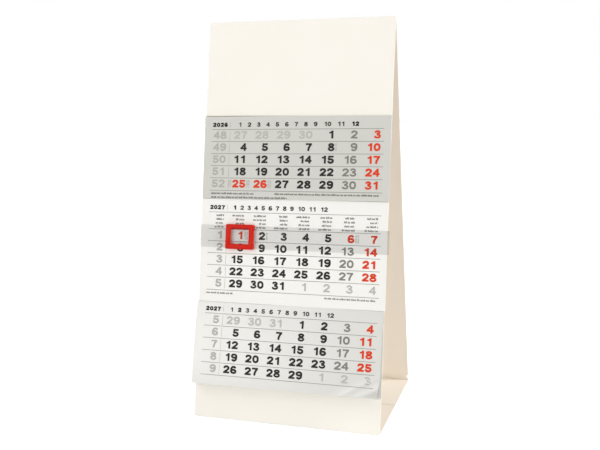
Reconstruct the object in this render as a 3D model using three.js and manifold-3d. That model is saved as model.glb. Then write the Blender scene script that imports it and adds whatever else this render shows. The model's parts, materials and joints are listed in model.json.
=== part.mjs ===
// Three-month desk calendar. A creased card folds into a tent, carries three tear-off
// month pads on its front, and wears a clear band with a sliding red date frame.
// Millimetres, +X to the reader's right, +Y to the back, +Z up. The calendar stands on
// the plane Z = 0, with the middle of its outline at the origin.
import * as THREE from 'three';
import { mergeVertices } from 'three/addons/utils/BufferGeometryUtils.js';
import Module from 'manifold-3d';

// Creased card
const CARD_WIDTH = 104.5;
const CARD_THICKNESS = 0.5;
const PANEL_LENGTH = 217.3; // from a foot crease to the top crease
const BASE_HALF_LENGTH = 41.6; // from a foot crease to the middle crease
const CREASE_SLIT = 0.3; // left open round the outside of a crease
const CREASE_LAND = 0.2; // from a crease's axis to the start of an inner face
const REAR_EDGE_SETBACK = 3; // from the rear crease up to the rear panel's cut edge
const TAB_HEIGHT = 15;
const TAB_TAPER = 7; // drawn in at each end of the tab's upper edge
const GLUE_THICKNESS = 0.1;
const GLUE_MARGIN = 2;
const FACE_AIR = 0.02; // between pieces that lie face to face

// Month pads
const LEAVES_PER_PAD = 12;
const LEAF_THICKNESS = 0.1;
const LEAF_SIDE_MARGIN = 0.05; // card left bare beside the leaves
const HEADER_HEIGHT = 51.8; // bare card above the top pad
const TOP_LEAF_HEIGHT = 44.7;
const MIDDLE_LEAF_HEIGHT = 56.1;
const BOTTOM_LEAF_HEIGHT = 44.9;
const PAD_SPACING = 0.6; // from one pad's lower edge to the next pad's leaves
const GUM_HEIGHT = 0.3;
const TAPE_HEIGHT = 6;
const TAPE_THICKNESS = 0.1;

// How the bottom pad's leaves have fanned out and curled
const FAN_LEFT = 4; // front leaf's lower left corner, off its flat pad
const FAN_RIGHT = 3.6;
const CURL_ALONG_FOOT = 27; // curled stretch of the lower edge, from its right corner
const CURL_UP_SIDE = 14; // curled stretch of the right edge, from its lower corner
const CURL_RADIUS = 12; // of the front leaf's curl
const CURL_HANDED_ON = 0.25; // share of its curl that a leaf gives the leaf behind it
const FANNED_STEPS = 12; // facets across and down a fanned leaf

// Clear band
const BAND_HEIGHT = 12.4;
const BAND_THICKNESS = 0.2;
const BAND_FROM_PAD_HEAD = 20.8; // middle pad's head down to the band's middle
const BAND_SIDE_CLEARANCE = 0.9; // beside the card
const BAND_BACK_CLEARANCE = 0.3; // behind the card
const BAND_CORNER_RADIUS = 0.8;
const BAND_LAP = 10;
const BAND_JOG = 1.8; // length over which the outer end steps over the inner one
const BAND_JOG_LEAD = 0.7; // from the jog to the inner end
const WELD_THICKNESS = 0.05;
const WELD_MARGIN = 0.5;

// Red date frame
const FRAME_WIDTH = 16.2;
const FRAME_WALL = 0.45; // above and below the band
const FRAME_PLATE = 1.1; // in front of the band
const FRAME_LIP = 0.5; // behind the band
const FRAME_LIP_HEIGHT = 2.4;
const FRAME_CLEARANCE = 0.12; // round the band, and behind the lips
const FRAME_CORNER_RADIUS = 0.8;
const FRAME_EDGE_BEVEL = 0.3;
const FRAME_FROM_LEFT = 23.7; // card's left edge to the frame's middle
const WINDOW_WIDTH = 10.5;
const WINDOW_HEIGHT = 8.5;
const WINDOW_RAISE = 0.35; // from the frame's middle up to the window's
const WINDOW_CORNER_RADIUS = 0.5;
const WINDOW_BEVEL = 0.35;

const CUT_OVERRUN = 1; // how far a cutting body runs past what it cuts

// Places that follow from the sizes
const LEAN = Math.asin(BASE_HALF_LENGTH / PANEL_LENGTH);
const APEX_HEIGHT = CARD_THICKNESS + PANEL_LENGTH * Math.cos(LEAN);
const LEAF_WIDTH = CARD_WIDTH - 2 * LEAF_SIDE_MARGIN;
const LEAF_PITCH = LEAF_THICKNESS + FACE_AIR;
const FIRST_LEAF_BACK = 2 * FACE_AIR + TAPE_THICKNESS;
const PAD_FRONT = FIRST_LEAF_BACK + (LEAVES_PER_PAD - 1) * LEAF_PITCH + LEAF_THICKNESS;
const TOP_PAD_HEAD = -HEADER_HEIGHT;
const MIDDLE_PAD_HEAD = TOP_PAD_HEAD - TOP_LEAF_HEIGHT - PAD_SPACING;
const BOTTOM_PAD_HEAD = MIDDLE_PAD_HEAD - MIDDLE_LEAF_HEIGHT - PAD_SPACING;
const BAND_MIDDLE = MIDDLE_PAD_HEAD - BAND_FROM_PAD_HEAD;
const BAND_FRONT = PAD_FRONT + 2 * FRAME_CLEARANCE + FRAME_LIP; // inner face of its front run
const BAND_BACK = -CARD_THICKNESS - BAND_BACK_CLEARANCE; // inner face of its back run
const FRAME_CHANNEL_HEIGHT = BAND_HEIGHT + 2 * FRAME_CLEARANCE;
const FRAME_HEIGHT = FRAME_CHANNEL_HEIGHT + 2 * FRAME_WALL;
const FRAME_CHANNEL_DEPTH = BAND_THICKNESS + 2 * FRAME_CLEARANCE;
const FRAME_DEPTH = FRAME_LIP + FRAME_CHANNEL_DEPTH + FRAME_PLATE;
const FRAME_BACK = PAD_FRONT + FRAME_CLEARANCE;

const wasm = await Module();
wasm.setup();

const cardFace = new THREE.MeshStandardMaterial({ color: 0xf9f5ec, roughness: 0.85, metalness: 0 });
const glue = new THREE.MeshStandardMaterial({ color: 0xe9e2cf, roughness: 0.5, metalness: 0 });
const leafPaper = new THREE.MeshStandardMaterial({ color: 0xe6e6e0, roughness: 0.85, metalness: 0 });
const whitePaper = new THREE.MeshStandardMaterial({ color: 0xf6f6f3, roughness: 0.85, metalness: 0 });
const gum = new THREE.MeshStandardMaterial({ color: 0xf1efe6, roughness: 0.6, metalness: 0 });
const film = new THREE.MeshStandardMaterial({
  color: 0xd8d6d0, roughness: 0.2, metalness: 0, transparent: true, opacity: 0.5,
});
const redPlastic = new THREE.MeshStandardMaterial({ color: 0xd61e0c, roughness: 0.25, metalness: 0 });

/** A named piece, placed in the frame of the group that will hold it. */
function piece(name, geometry, material, x = 0, y = 0, z = 0) {
  const mesh = new THREE.Mesh(geometry, material);
  mesh.name = name;
  mesh.position.set(x, y, z);
  return mesh;
}

/** A closed geometry as a solid that can be cut. */
function toSolid(geometry) {
  const bare = geometry.clone();
  bare.deleteAttribute('normal');
  bare.deleteAttribute('uv');
  const merged = mergeVertices(bare, 1e-5);
  return new wasm.Manifold(new wasm.Mesh({
    numProp: 3,
    vertProperties: new Float32Array(merged.attributes.position.array),
    triVerts: new Uint32Array(merged.index.array),
  }));
}

/** A solid back as a geometry. */
function toGeometry(solid) {
  const mesh = solid.getMesh();
  const geometry = new THREE.BufferGeometry();
  geometry.setAttribute('position', new THREE.BufferAttribute(new Float32Array(mesh.vertProperties), 3));
  geometry.setIndex(new THREE.BufferAttribute(new Uint32Array(mesh.triVerts), 1));
  geometry.computeVertexNormals();
  return geometry;
}

/** A section of [y, z] points, drawn out along X and centred on it. */
function extrudeAcross(section, width) {
  const shape = new THREE.Shape(section.map(([y, z]) => new THREE.Vector2(y, z)));
  const geometry = new THREE.ExtrudeGeometry(shape, { depth: width, bevelEnabled: false });
  geometry.translate(0, 0, -width / 2);
  geometry.applyMatrix4(new THREE.Matrix4().makeBasis(
    new THREE.Vector3(0, 1, 0), new THREE.Vector3(0, 0, 1), new THREE.Vector3(1, 0, 0),
  ));
  return geometry;
}

/** An outline in X and Y, drawn out along Z from `back`. */
function extrudeForward(shape, back, depth) {
  return new THREE.ExtrudeGeometry(shape, { depth, bevelEnabled: false }).translate(0, 0, back);
}

/** A rectangle with round corners, centred on the origin. */
function roundedRectangle(width, height, radius) {
  const x = width / 2 - radius;
  const y = height / 2 - radius;
  const shape = new THREE.Shape();
  shape.absarc(x, y, radius, 0, Math.PI / 2, false);
  shape.absarc(-x, y, radius, Math.PI / 2, Math.PI, false);
  shape.absarc(-x, -y, radius, Math.PI, 1.5 * Math.PI, false);
  shape.absarc(x, -y, radius, 1.5 * Math.PI, 2 * Math.PI, false);
  return shape;
}

/**
 * The end of a panel at a crease. A panel's outer face is z = 0 and its inner face
 * z = -CARD_THICKNESS. The crease's axis runs along the inner face at y = axisY, and the
 * card bends round it: the end is an arc about the axis, up to half the crease's outside
 * less half the slit. `beyond` is +1 where the panel ends upwards and -1 downwards.
 * The points run from the outer face to the inner face.
 */
function creasedEnd(axisY, beyond, insideAngle) {
  const steps = 4;
  const slitAngle = Math.atan(CREASE_SLIT / 2 / CARD_THICKNESS);
  const sweep = (Math.PI - insideAngle) / 2 - slitAngle;
  const points = [];
  for (let step = 0; step <= steps; step += 1) {
    const angle = (sweep * step) / steps;
    points.push([
      axisY + beyond * CARD_THICKNESS * Math.sin(angle),
      CARD_THICKNESS * (Math.cos(angle) - 1),
    ]);
  }
  points.push([axisY - beyond * CREASE_LAND, -CARD_THICKNESS]);
  return points;
}

/** The end of a panel that is cut square, from its outer face to its inner face. */
function cutEnd(y) {
  return [[y, 0], [y, -CARD_THICKNESS]];
}

/** A panel of card between two ends, each given from its outer face to its inner face. */
function cardPanel(upperEnd, lowerEnd) {
  return extrudeAcross([...upperEnd, ...lowerEnd.reverse()], CARD_WIDTH);
}

const TOP_ANGLE = 2 * LEAN; // inside the top crease
const FOOT_ANGLE = Math.PI / 2 - LEAN; // inside a foot crease

/** The outline of the tab or its glue: full width at the foot, tapered to its upper edge. */
function tabOutline(foot, top, inset) {
  const footHalf = CARD_WIDTH / 2 - inset;
  const topHalf = footHalf - TAB_TAPER;
  return new THREE.Shape([
    new THREE.Vector2(-footHalf, foot), new THREE.Vector2(footHalf, foot),
    new THREE.Vector2(topHalf, top), new THREE.Vector2(-topHalf, top),
  ]);
}

/** The tab: a creased foot and a square upper edge, cut to the tapered outline. */
function tabGeometry(foot, top) {
  const blank = toSolid(cardPanel(cutEnd(top), creasedEnd(foot, -1, FOOT_ANGLE)));
  const low = foot - CARD_THICKNESS - CUT_OVERRUN;
  const cutter = extrudeForward(tabOutline(low, top, 0), -CARD_THICKNESS - CUT_OVERRUN,
    CARD_THICKNESS + 2 * CUT_OVERRUN);
  return toGeometry(blank.intersect(toSolid(cutter)));
}

/** Half of the base: creased to a panel at its foot, and cut square at the middle crease. */
function baseHalfGeometry() {
  return cardPanel(cutEnd(-CREASE_SLIT / 2), creasedEnd(-BASE_HALF_LENGTH, -1, FOOT_ANGLE));
}

/**
 * One sheet of paper that hangs from its head at y = 0, with its back on z = 0.
 * `place(x, below, above)` bends it: it gives the place of a point of the flat sheet, from
 * its distances to the sheet's middle, below its head and above its back.
 */
function leafGeometry(height, acrossSteps, downSteps, place) {
  const positions = [];
  for (const above of [0, LEAF_THICKNESS]) {
    for (let row = 0; row <= downSteps; row += 1) {
      for (let column = 0; column <= acrossSteps; column += 1) {
        const x = (column / acrossSteps - 0.5) * LEAF_WIDTH;
        positions.push(...place(x, (row / downSteps) * height, above));
      }
    }
  }
  const frontStart = (acrossSteps + 1) * (downSteps + 1);
  const corner = (row, column) => row * (acrossSteps + 1) + column;
  const triangles = [];
  const quad = (a, b, c, d) => triangles.push(a, b, c, a, c, d);
  for (let row = 0; row < downSteps; row += 1) {
    for (let column = 0; column < acrossSteps; column += 1) {
      const [a, b] = [corner(row, column), corner(row + 1, column)];
      quad(a, a + 1, b + 1, b);
      quad(frontStart + a, frontStart + b, frontStart + b + 1, frontStart + a + 1);
    }
  }
  const edge = (a, b) => quad(a, b, frontStart + b, frontStart + a);
  for (let column = 0; column < acrossSteps; column += 1) {
    edge(corner(0, column + 1), corner(0, column));
    edge(corner(downSteps, column), corner(downSteps, column + 1));
  }
  for (let row = 0; row < downSteps; row += 1) {
    edge(corner(row, 0), corner(row + 1, 0));
    edge(corner(row + 1, acrossSteps), corner(row, acrossSteps));
  }
  const geometry = new THREE.BufferGeometry();
  geometry.setAttribute('position', new THREE.Float32BufferAttribute(positions, 3));
  geometry.setIndex(triangles);
  geometry.computeVertexNormals();
  return geometry;
}

/** Where a point of a flat leaf lies. */
function flatPlace(x, below, above) {
  return [x, -below, above];
}

/**
 * Where a point of a fanned leaf lies. The leaf leaves its pad at an angle and arches over
 * towards its lower edge, and its lower right corner rolls forward round a line across it.
 * `fromBack` counts from the leaf on the card.
 */
function fannedPlace(fromBack, height, x, below, above) {
  const front = LEAVES_PER_PAD - 1;
  const across = x / LEAF_WIDTH + 0.5;
  const down = below / height;
  const fan = ((FAN_LEFT + (FAN_RIGHT - FAN_LEFT) * across) * fromBack) / Math.max(front, 1);
  const arch = 1.5 * down - 0.5 * down ** 3;
  const drawnUp = 1.125 * (fan ** 2 / height) * (down - (2 / 3) * down ** 3 + down ** 5 / 5);
  const shareCurled = 1 - (LEAF_WIDTH / 2 - x) / CURL_ALONG_FOOT - (height - below) / CURL_UP_SIDE;
  const toCorner = new THREE.Vector2(1 / CURL_ALONG_FOOT, -1 / CURL_UP_SIDE);
  const rolled = Math.max(shareCurled, 0) / toCorner.length();
  const radius = CURL_RADIUS / CURL_HANDED_ON ** (front - fromBack);
  const turn = rolled / radius;
  toCorner.setLength((radius - above) * Math.sin(turn) - rolled);
  return [
    x + toCorner.x,
    drawnUp - below + toCorner.y,
    fan * arch + radius - (radius - above) * Math.cos(turn),
  ];
}

/** A pad: its mounting tape, its leaves from the card outwards, and its gummed head. */
function monthPad(prefix, head, leafHeight, paper, fanned) {
  const pad = new THREE.Group();
  pad.position.y = head;
  pad.add(piece(`${prefix}_pad_tape`, new THREE.BoxGeometry(LEAF_WIDTH, TAPE_HEIGHT, TAPE_THICKNESS),
    glue, 0, -TAPE_HEIGHT / 2, FACE_AIR + TAPE_THICKNESS / 2));
  const steps = fanned ? FANNED_STEPS : 1;
  for (let fromBack = 0; fromBack < LEAVES_PER_PAD; fromBack += 1) {
    const place = fanned ? (...point) => fannedPlace(fromBack, leafHeight, ...point) : flatPlace;
    const fromFront = String(LEAVES_PER_PAD - fromBack).padStart(2, '0');
    pad.add(piece(`${prefix}_pad_leaf_${fromFront}`, leafGeometry(leafHeight, steps, steps, place),
      paper, 0, 0, FIRST_LEAF_BACK + fromBack * LEAF_PITCH));
  }
  pad.add(piece(`${prefix}_pad_gum`, gumGeometry(), gum, 0, FACE_AIR, FACE_AIR));
  return pad;
}

/** The gum over the leaves' upper edges: a low bead with its front edge rounded. */
function gumGeometry() {
  const depth = PAD_FRONT - FACE_AIR;
  const radius = GUM_HEIGHT / 2;
  const section = [[0, 0], [GUM_HEIGHT, 0]];
  for (const angle of [0, 30, 60, 90]) {
    const turn = THREE.MathUtils.degToRad(angle);
    section.push([radius + radius * Math.cos(turn), depth - radius + radius * Math.sin(turn)]);
  }
  section.push([0, depth]);
  return extrudeAcross(section, LEAF_WIDTH);
}

/** Points of a strip's outline: its inner line, then the line `thickness` to its right. */
function stripOutline(line, thickness) {
  const outer = line.map((point, index) => {
    const before = line[Math.max(index - 1, 0)];
    const after = line[Math.min(index + 1, line.length - 1)];
    const arriving = new THREE.Vector2().subVectors(point, before).normalize();
    const leaving = new THREE.Vector2().subVectors(after, point).normalize();
    const along = new THREE.Vector2().addVectors(arriving, leaving).normalize();
    const reference = index > 0 ? arriving : leaving;
    const reach = thickness / Math.max(along.dot(reference), 0.5);
    return new THREE.Vector2(point.x + along.y * reach, point.y - along.x * reach);
  });
  return [...line, ...outer.reverse()];
}

/** The clear band: one film strip round card and pad, its ends lapped behind the card. */
function bandGeometry() {
  const side = CARD_WIDTH / 2 + BAND_SIDE_CLEARANCE;
  const [radius, arcSteps] = [BAND_CORNER_RADIUS, 3];
  const right = side - radius;
  const lapped = BAND_BACK - BAND_THICKNESS - WELD_THICKNESS - 2 * FACE_AIR;
  const jogEnd = -BAND_LAP / 2 - BAND_JOG_LEAD;
  const line = new THREE.Path();
  line.moveTo(-BAND_LAP / 2, BAND_BACK);
  line.lineTo(right, BAND_BACK);
  line.absarc(right, BAND_BACK + radius, radius, -Math.PI / 2, 0, false);
  line.absarc(right, BAND_FRONT - radius, radius, 0, Math.PI / 2, false);
  line.absarc(-right, BAND_FRONT - radius, radius, Math.PI / 2, Math.PI, false);
  line.absarc(-right, BAND_BACK + radius, radius, Math.PI, 1.5 * Math.PI, false);
  line.lineTo(jogEnd - BAND_JOG, BAND_BACK);
  line.lineTo(jogEnd, lapped);
  line.lineTo(BAND_LAP / 2, lapped);
  const shape = new THREE.Shape(stripOutline(line.getPoints(arcSteps), BAND_THICKNESS));
  const geometry = new THREE.ExtrudeGeometry(shape, { depth: BAND_HEIGHT, bevelEnabled: false });
  geometry.translate(0, 0, -BAND_HEIGHT / 2);
  return geometry.applyMatrix4(new THREE.Matrix4().makeBasis(
    new THREE.Vector3(1, 0, 0), new THREE.Vector3(0, 0, 1), new THREE.Vector3(0, -1, 0),
  ));
}

/** The red frame: a bevelled block, cut by the band's channel, its mouth and the window. */
function frameGeometry() {
  const bevel = FRAME_EDGE_BEVEL;
  const outline = roundedRectangle(
    FRAME_WIDTH - 2 * bevel, FRAME_HEIGHT - 2 * bevel, FRAME_CORNER_RADIUS - bevel,
  );
  const block = new THREE.ExtrudeGeometry(outline, {
    depth: FRAME_DEPTH - 2 * bevel, bevelThickness: bevel, bevelSize: bevel, bevelSegments: 2, curveSegments: 4,
  });
  const alongBand = FRAME_WIDTH + 2 * CUT_OVERRUN;
  const channel = new THREE.BoxGeometry(alongBand, FRAME_CHANNEL_HEIGHT, FRAME_CHANNEL_DEPTH);
  channel.translate(0, 0, FRAME_LIP + FRAME_CHANNEL_DEPTH / 2);
  const mouthHeight = FRAME_CHANNEL_HEIGHT - 2 * FRAME_LIP_HEIGHT;
  const mouthDepth = CUT_OVERRUN + FRAME_LIP + FRAME_CHANNEL_DEPTH / 2;
  const mouth = new THREE.BoxGeometry(alongBand, mouthHeight, mouthDepth);
  mouth.translate(0, 0, mouthDepth / 2 - CUT_OVERRUN);
  const opening = new THREE.ExtrudeGeometry(
    roundedRectangle(WINDOW_WIDTH, WINDOW_HEIGHT, WINDOW_CORNER_RADIUS),
    { depth: FRAME_DEPTH, bevelEnabled: false, curveSegments: 3 },
  );
  opening.translate(0, WINDOW_RAISE, FRAME_LIP);
  const flare = new THREE.ExtrudeGeometry(
    roundedRectangle(WINDOW_WIDTH, WINDOW_HEIGHT, WINDOW_CORNER_RADIUS),
    { depth: CUT_OVERRUN, bevelThickness: WINDOW_BEVEL, bevelSize: WINDOW_BEVEL, bevelSegments: 1, curveSegments: 3 },
  );
  flare.translate(0, WINDOW_RAISE, FRAME_DEPTH);
  return toGeometry(toSolid(block.translate(0, 0, bevel))
    .subtract(toSolid(channel))
    .subtract(toSolid(mouth))
    .subtract(toSolid(opening))
    .subtract(toSolid(flare)));
}

/** A side of the tent. Its own frame lies on the outer face of its card: x across, y up
 * along the card from the level of the top crease, z away from the card. */
function tentSide(turn) {
  const side = new THREE.Group();
  side.rotation.x = Math.PI / 2 - LEAN;
  side.position.set(0, -CARD_THICKNESS * Math.cos(LEAN), APEX_HEIGHT + CARD_THICKNESS * Math.sin(LEAN));
  const turned = new THREE.Group();
  turned.rotation.z = turn;
  turned.add(side);
  return { turned, side };
}

/** The front side: its card, the three pads, the band and the frame. */
function frontSide() {
  const { turned, side } = tentSide(0);
  side.add(piece('front_panel',
    cardPanel(creasedEnd(0, 1, TOP_ANGLE), creasedEnd(-PANEL_LENGTH, -1, FOOT_ANGLE)), cardFace));
  side.add(monthPad('top', TOP_PAD_HEAD, TOP_LEAF_HEIGHT, leafPaper, false));
  side.add(monthPad('middle', MIDDLE_PAD_HEAD, MIDDLE_LEAF_HEIGHT, whitePaper, false));
  side.add(monthPad('bottom', BOTTOM_PAD_HEAD, BOTTOM_LEAF_HEIGHT, leafPaper, true));
  side.add(piece('date_band', bandGeometry(), film, 0, BAND_MIDDLE, 0));
  side.add(piece('band_seam',
    new THREE.BoxGeometry(BAND_LAP - 2 * WELD_MARGIN, BAND_HEIGHT - 2 * WELD_MARGIN, WELD_THICKNESS),
    film, 0, BAND_MIDDLE, BAND_BACK - BAND_THICKNESS - FACE_AIR - WELD_THICKNESS / 2));
  side.add(piece('date_frame', frameGeometry(), redPlastic,
    FRAME_FROM_LEFT - CARD_WIDTH / 2, BAND_MIDDLE, FRAME_BACK));
  return turned;
}

/** The rear side: its card, and the tab glued on the outside of the card's cut edge. */
function rearSide() {
  const { turned, side } = tentSide(Math.PI);
  const cutEdge = -PANEL_LENGTH + REAR_EDGE_SETBACK;
  side.add(piece('rear_panel', cardPanel(creasedEnd(0, 1, TOP_ANGLE), cutEnd(cutEdge)), cardFace));
  const tabInner = GLUE_THICKNESS + 2 * FACE_AIR;
  // The tab's crease is level with the other foot crease, further out along the base
  const tabFoot = -PANEL_LENGTH - (CARD_THICKNESS + tabInner) * Math.tan(LEAN);
  const tabTop = tabFoot + TAB_HEIGHT;
  side.add(piece('rear_glue_tab', tabGeometry(tabFoot, tabTop), cardFace,
    0, 0, tabInner + CARD_THICKNESS));
  side.add(piece('tab_glue_film', extrudeForward(
    tabOutline(cutEdge + GLUE_MARGIN, tabTop - GLUE_MARGIN, GLUE_MARGIN), 0, GLUE_THICKNESS,
  ), glue, 0, 0, FACE_AIR));
  return turned;
}

/** The base: two halves with their outer faces down, on either side of the middle crease. */
function base() {
  const floor = new THREE.Group();
  for (const [name, turn] of [['base_front_half', 0], ['base_rear_half', Math.PI]]) {
    const half = piece(name, baseHalfGeometry(), cardFace);
    // A panel's outer face is its upper one as drawn, so a half is rolled over about Y
    half.rotation.set(0, Math.PI, 0);
    const turned = new THREE.Group();
    turned.rotation.z = turn;
    turned.add(half);
    floor.add(turned);
  }
  return floor;
}

const calendar = new THREE.Group();
calendar.add(frontSide(), rearSide(), base());
calendar.updateMatrixWorld(true);
const outline = new THREE.Box3().setFromObject(calendar, true);
calendar.position.y = -(outline.min.y + outline.max.y) / 2;
calendar.updateMatrixWorld(true);

export default calendar;
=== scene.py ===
"""Three-month desk calendar: a creased card tent, three month pads and a date marker.

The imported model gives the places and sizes. This script dresses it: card with soft cut
edges and bent creases, paper leaves that fan and curl, printed numbers, a clear film
band and a moulded red frame.
"""
import json
import logging
import math
import random
from collections.abc import Callable, Iterable, Sequence
from dataclasses import dataclass, field
from enum import Enum
from functools import cache

import bmesh
import bpy
from mathutils import Matrix, Vector
from mathutils.geometry import tessellate_polygon


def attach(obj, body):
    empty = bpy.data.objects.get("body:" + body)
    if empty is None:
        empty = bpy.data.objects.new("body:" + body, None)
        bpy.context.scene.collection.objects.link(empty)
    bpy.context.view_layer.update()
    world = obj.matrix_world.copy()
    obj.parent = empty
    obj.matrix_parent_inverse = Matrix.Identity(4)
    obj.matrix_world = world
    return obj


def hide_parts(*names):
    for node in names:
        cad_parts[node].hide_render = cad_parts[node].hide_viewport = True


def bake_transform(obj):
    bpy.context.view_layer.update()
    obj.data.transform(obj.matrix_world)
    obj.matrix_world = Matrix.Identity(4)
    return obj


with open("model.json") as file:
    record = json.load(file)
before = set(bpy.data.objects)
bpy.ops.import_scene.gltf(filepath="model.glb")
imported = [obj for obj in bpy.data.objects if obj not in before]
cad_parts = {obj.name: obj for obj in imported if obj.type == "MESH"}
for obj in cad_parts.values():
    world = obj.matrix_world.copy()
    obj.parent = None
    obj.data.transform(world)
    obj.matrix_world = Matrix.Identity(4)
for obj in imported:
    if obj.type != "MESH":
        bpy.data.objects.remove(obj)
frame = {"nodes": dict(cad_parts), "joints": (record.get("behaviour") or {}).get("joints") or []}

LOG = logging.getLogger("desk_calendar")
MM = 0.001
SEED = 24
SHARP_ANGLE = math.radians(35)
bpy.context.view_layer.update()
JOINTS = {joint["name"]: joint for joint in frame["joints"]}

Screen = tuple[int, int, int]
Inputs = dict[str | int, object]
SheetPoint = Callable[[float, float, bool], Vector]
Loop = list[tuple[float, float]]


def linear(colour: Screen) -> tuple[float, float, float, float]:
    """Turn a colour as a screen shows it into the linear values that a shader takes.

    Args:
        colour: Red, green and blue from 0 to 255.

    Returns:
        Linear red, green and blue, with an alpha of 1.
    """
    shares = (value / 255 for value in colour)
    return (*(s / 12.92 if s <= 0.04045 else ((s + 0.055) / 1.055) ** 2.4 for s in shares), 1.0)


@dataclass(frozen=True)
class NodeGraph:
    """The nodes of a material or a world, with short ways to add and to feed them."""

    tree: bpy.types.NodeTree

    def feed(self, node: bpy.types.Node, inputs: Inputs) -> None:
        """Set or link a node's inputs.

        Args:
            node: The node.
            inputs: For each input its value, or the output that feeds it.
        """
        for key, value in inputs.items():
            if isinstance(value, bpy.types.NodeSocket):
                self.tree.links.new(value, node.inputs[key])
            else:
                node.inputs[key].default_value = value

    def add(self, kind: str, inputs: Inputs, **settings: str) -> bpy.types.Node:
        """Add a node.

        Args:
            kind: Its type, without the leading ShaderNode.
            inputs: Its inputs, as feed takes them.
            settings: Its own properties.

        Returns:
            The new node.
        """
        node = self.tree.nodes.new("ShaderNode" + kind)
        for name, value in settings.items():
            setattr(node, name, value)
        self.feed(node, inputs)
        return node


def new_material(name: str) -> tuple[bpy.types.Material, NodeGraph, bpy.types.Node]:
    """Start a node material.

    Args:
        name: The material's name.

    Returns:
        The material, its nodes and its Principled shader.
    """
    material = bpy.data.materials.new(name)
    material.use_nodes = True
    return material, NodeGraph(material.node_tree), material.node_tree.nodes["Principled BSDF"]


@dataclass(frozen=True)
class Finish:
    """Two close colours in soft clouds, a bump of those clouds or of fibres, and a shine."""

    name: str
    colour: Screen
    shade: Screen
    roughness: float
    specular: float
    cloud_scale: float
    cloud_detail: float = 3.0
    bump_strength: float = 0.5
    bump_height: float = 0.0
    fibre_scale: float = 0.0
    fibre_stretch: tuple[float, float, float] = (0.35, 1.0, 1.0)
    fibre_detail: float = 5.0
    fibre_roughness: float = 0.65
    sheen: float = 0.0
    alpha: float = 1.0

    @cache
    def material(self) -> bpy.types.Material:
        """Build the finish's node material, once.

        Returns:
            The material.
        """
        material, graph, shader = new_material(self.name)
        place = graph.add("TexCoord", {}).outputs["Object"]
        clouds = grain = graph.add("TexNoise", {
            "Vector": place, "Scale": self.cloud_scale, "Detail": self.cloud_detail,
        }).outputs["Fac"]
        mixed = graph.add("Mix", {
            "Factor": clouds, "A": linear(self.colour), "B": linear(self.shade),
        }, data_type="RGBA")
        if self.fibre_scale:
            stretched = graph.add("Mapping", {"Vector": place, "Scale": self.fibre_stretch})
            grain = graph.add("TexNoise", {
                "Vector": stretched.outputs["Vector"], "Scale": self.fibre_scale,
                "Detail": self.fibre_detail, "Roughness": self.fibre_roughness,
            }).outputs["Fac"]
        if self.bump_height:
            bump = graph.add("Bump", {
                "Height": grain, "Strength": self.bump_strength, "Distance": self.bump_height,
            })
            graph.feed(shader, {"Normal": bump.outputs["Normal"]})
        graph.feed(shader, {
            "Base Color": mixed.outputs["Result"], "Roughness": self.roughness,
            "Specular IOR Level": self.specular, "Sheen Weight": self.sheen, "Alpha": self.alpha,
        })
        return material


@dataclass(frozen=True)
class FibreFinish(Finish):
    """Paper or card: a matte sheet with fibres, a little cloudiness and a soft sheen."""

    roughness: float = 0.82
    specular: float = 0.35
    cloud_scale: float = 38.0
    bump_height: float = 0.012 * MM
    fibre_scale: float = 2600.0
    sheen: float = 0.05


@dataclass(frozen=True)
class InkFinish(Finish):
    """Offset ink on paper: slightly mottled, and a shade glossier than paper.

    The weight is the width of its digits' strokes, as a share of their height.
    """

    roughness: float = 0.6
    specular: float = 0.3
    cloud_scale: float = 1500.0
    weight: float = 0.0


@dataclass(frozen=True)
class PlasticFinish(Finish):
    """Moulded or rolled plastic, with a fine ripple in its skin."""

    roughness: float = 0.4
    specular: float = 0.5
    cloud_scale: float = 260.0
    cloud_detail: float = 2.0
    bump_strength: float = 0.4
    bump_height: float = 0.01 * MM


CARD = FibreFinish("cream_card", (250, 246, 238), (247, 243, 233), roughness=0.7, fibre_scale=1900.0)
# Inner faces: the same cream card, painted warmer than the outer face to stand in for the warm light
# bounced round inside the tent.
CARD_INSIDE_PAINTED_WARM = FibreFinish(
    "cream_card_inside_painted_warm", (254, 246, 235), (252, 243, 230), roughness=0.8, fibre_scale=1700.0,
)
# The card's browner core on its cut edges; the score's upper face takes it too, as painted shade along the
# crease.
CARD_EDGE_AND_SCORE_SHADE = FibreFinish(
    "card_cut_edge_and_score_shade", (238, 230, 213), (222, 212, 192), fibre_scale=4200.0, bump_height=0.03 * MM,
)
CARD_FACES = (CARD, CARD_INSIDE_PAINTED_WARM, CARD_EDGE_AND_SCORE_SHADE)
GREY_PAPER = FibreFinish("grey_printed_paper", (212, 211, 205), (208, 207, 201))
# The bottom pad's paper: the same grey paper as the top pad's, painted lighter to stand in for the light
# from above that its fanned leaves catch.
GREY_PAPER_PAINTED_LIGHTER = FibreFinish(
    "grey_printed_paper_painted_lighter", (216, 215, 210), (212, 211, 205), roughness=0.28, specular=1.0,
)
WHITE_PAPER = FibreFinish("white_paper", (246, 245, 241), (243, 242, 237))
GUM = FibreFinish(
    "padding_gum", (240, 237, 228), (228, 224, 212), roughness=0.5, fibre_scale=900.0,
    bump_height=0.04 * MM, sheen=0.0,
)
ADHESIVE = PlasticFinish("adhesive", (232, 226, 208), (222, 214, 192))
FILM = PlasticFinish(
    "clear_film", (62, 54, 42), (56, 48, 36), roughness=0.25, alpha=0.075, cloud_scale=60.0,
    bump_height=0.02 * MM,
)
RED = PlasticFinish("red_moulded_plastic", (205, 26, 3), (197, 21, 3), roughness=0.42, specular=0.15)


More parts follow.
